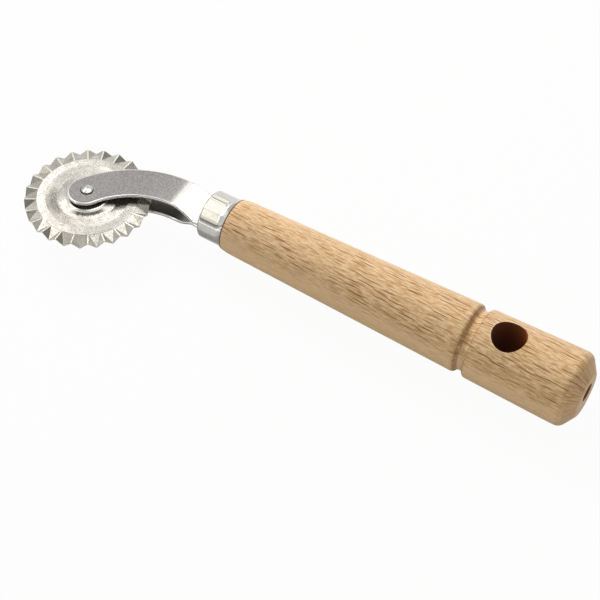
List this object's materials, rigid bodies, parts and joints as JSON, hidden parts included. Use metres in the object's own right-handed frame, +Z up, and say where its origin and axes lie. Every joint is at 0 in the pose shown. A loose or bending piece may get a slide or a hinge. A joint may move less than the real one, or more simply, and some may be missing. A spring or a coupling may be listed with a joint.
{
  "type": "pastry cutter roller",
  "caption": "Hand pastry cutter: a zigzag-edged wheel turns freely on a rivet in a curved strip-steel fork set in a bright ferrule and a tapered beech handle with a hanging hole.",
  "frame": {"origin": "bottom centre of the bounding box with the tool on its side, wheel flat", "axes": "+X along the handle from the wheel to the butt, +Y across the handle away from the wheel's drop, +Z up along the wheel's axle"},
  "size_m": [0.1768, 0.0448, 0.0224],
  "materials": {
    "wheel_casting": "as cast, tumbled, warm grey",
    "rivet_steel": "polished by the rivet set",
    "fork_steel": "satin stainless strip",
    "ferrule_plate": "bright plated drawn cup",
    "beech": "bare turned beech with dark flecks"
  },
  "bodies": {
    "handle_and_fork": {"handle": "beech", "ferrule": "ferrule_plate", "front_fork_arm": "fork_steel", "back_fork_arm": "fork_steel", "axle_rivet": "rivet_steel"},
    "wheel": {"cutting_wheel": "wheel_casting"}
  },
  "joints": [
    {"name": "wheel_spin", "type": "hinge", "parent": "handle_and_fork", "child": "wheel", "pos_m": [-0.0694, -0.0034, 0.0112], "axis": [0, 0, 1], "continuous": true}
  ]
}
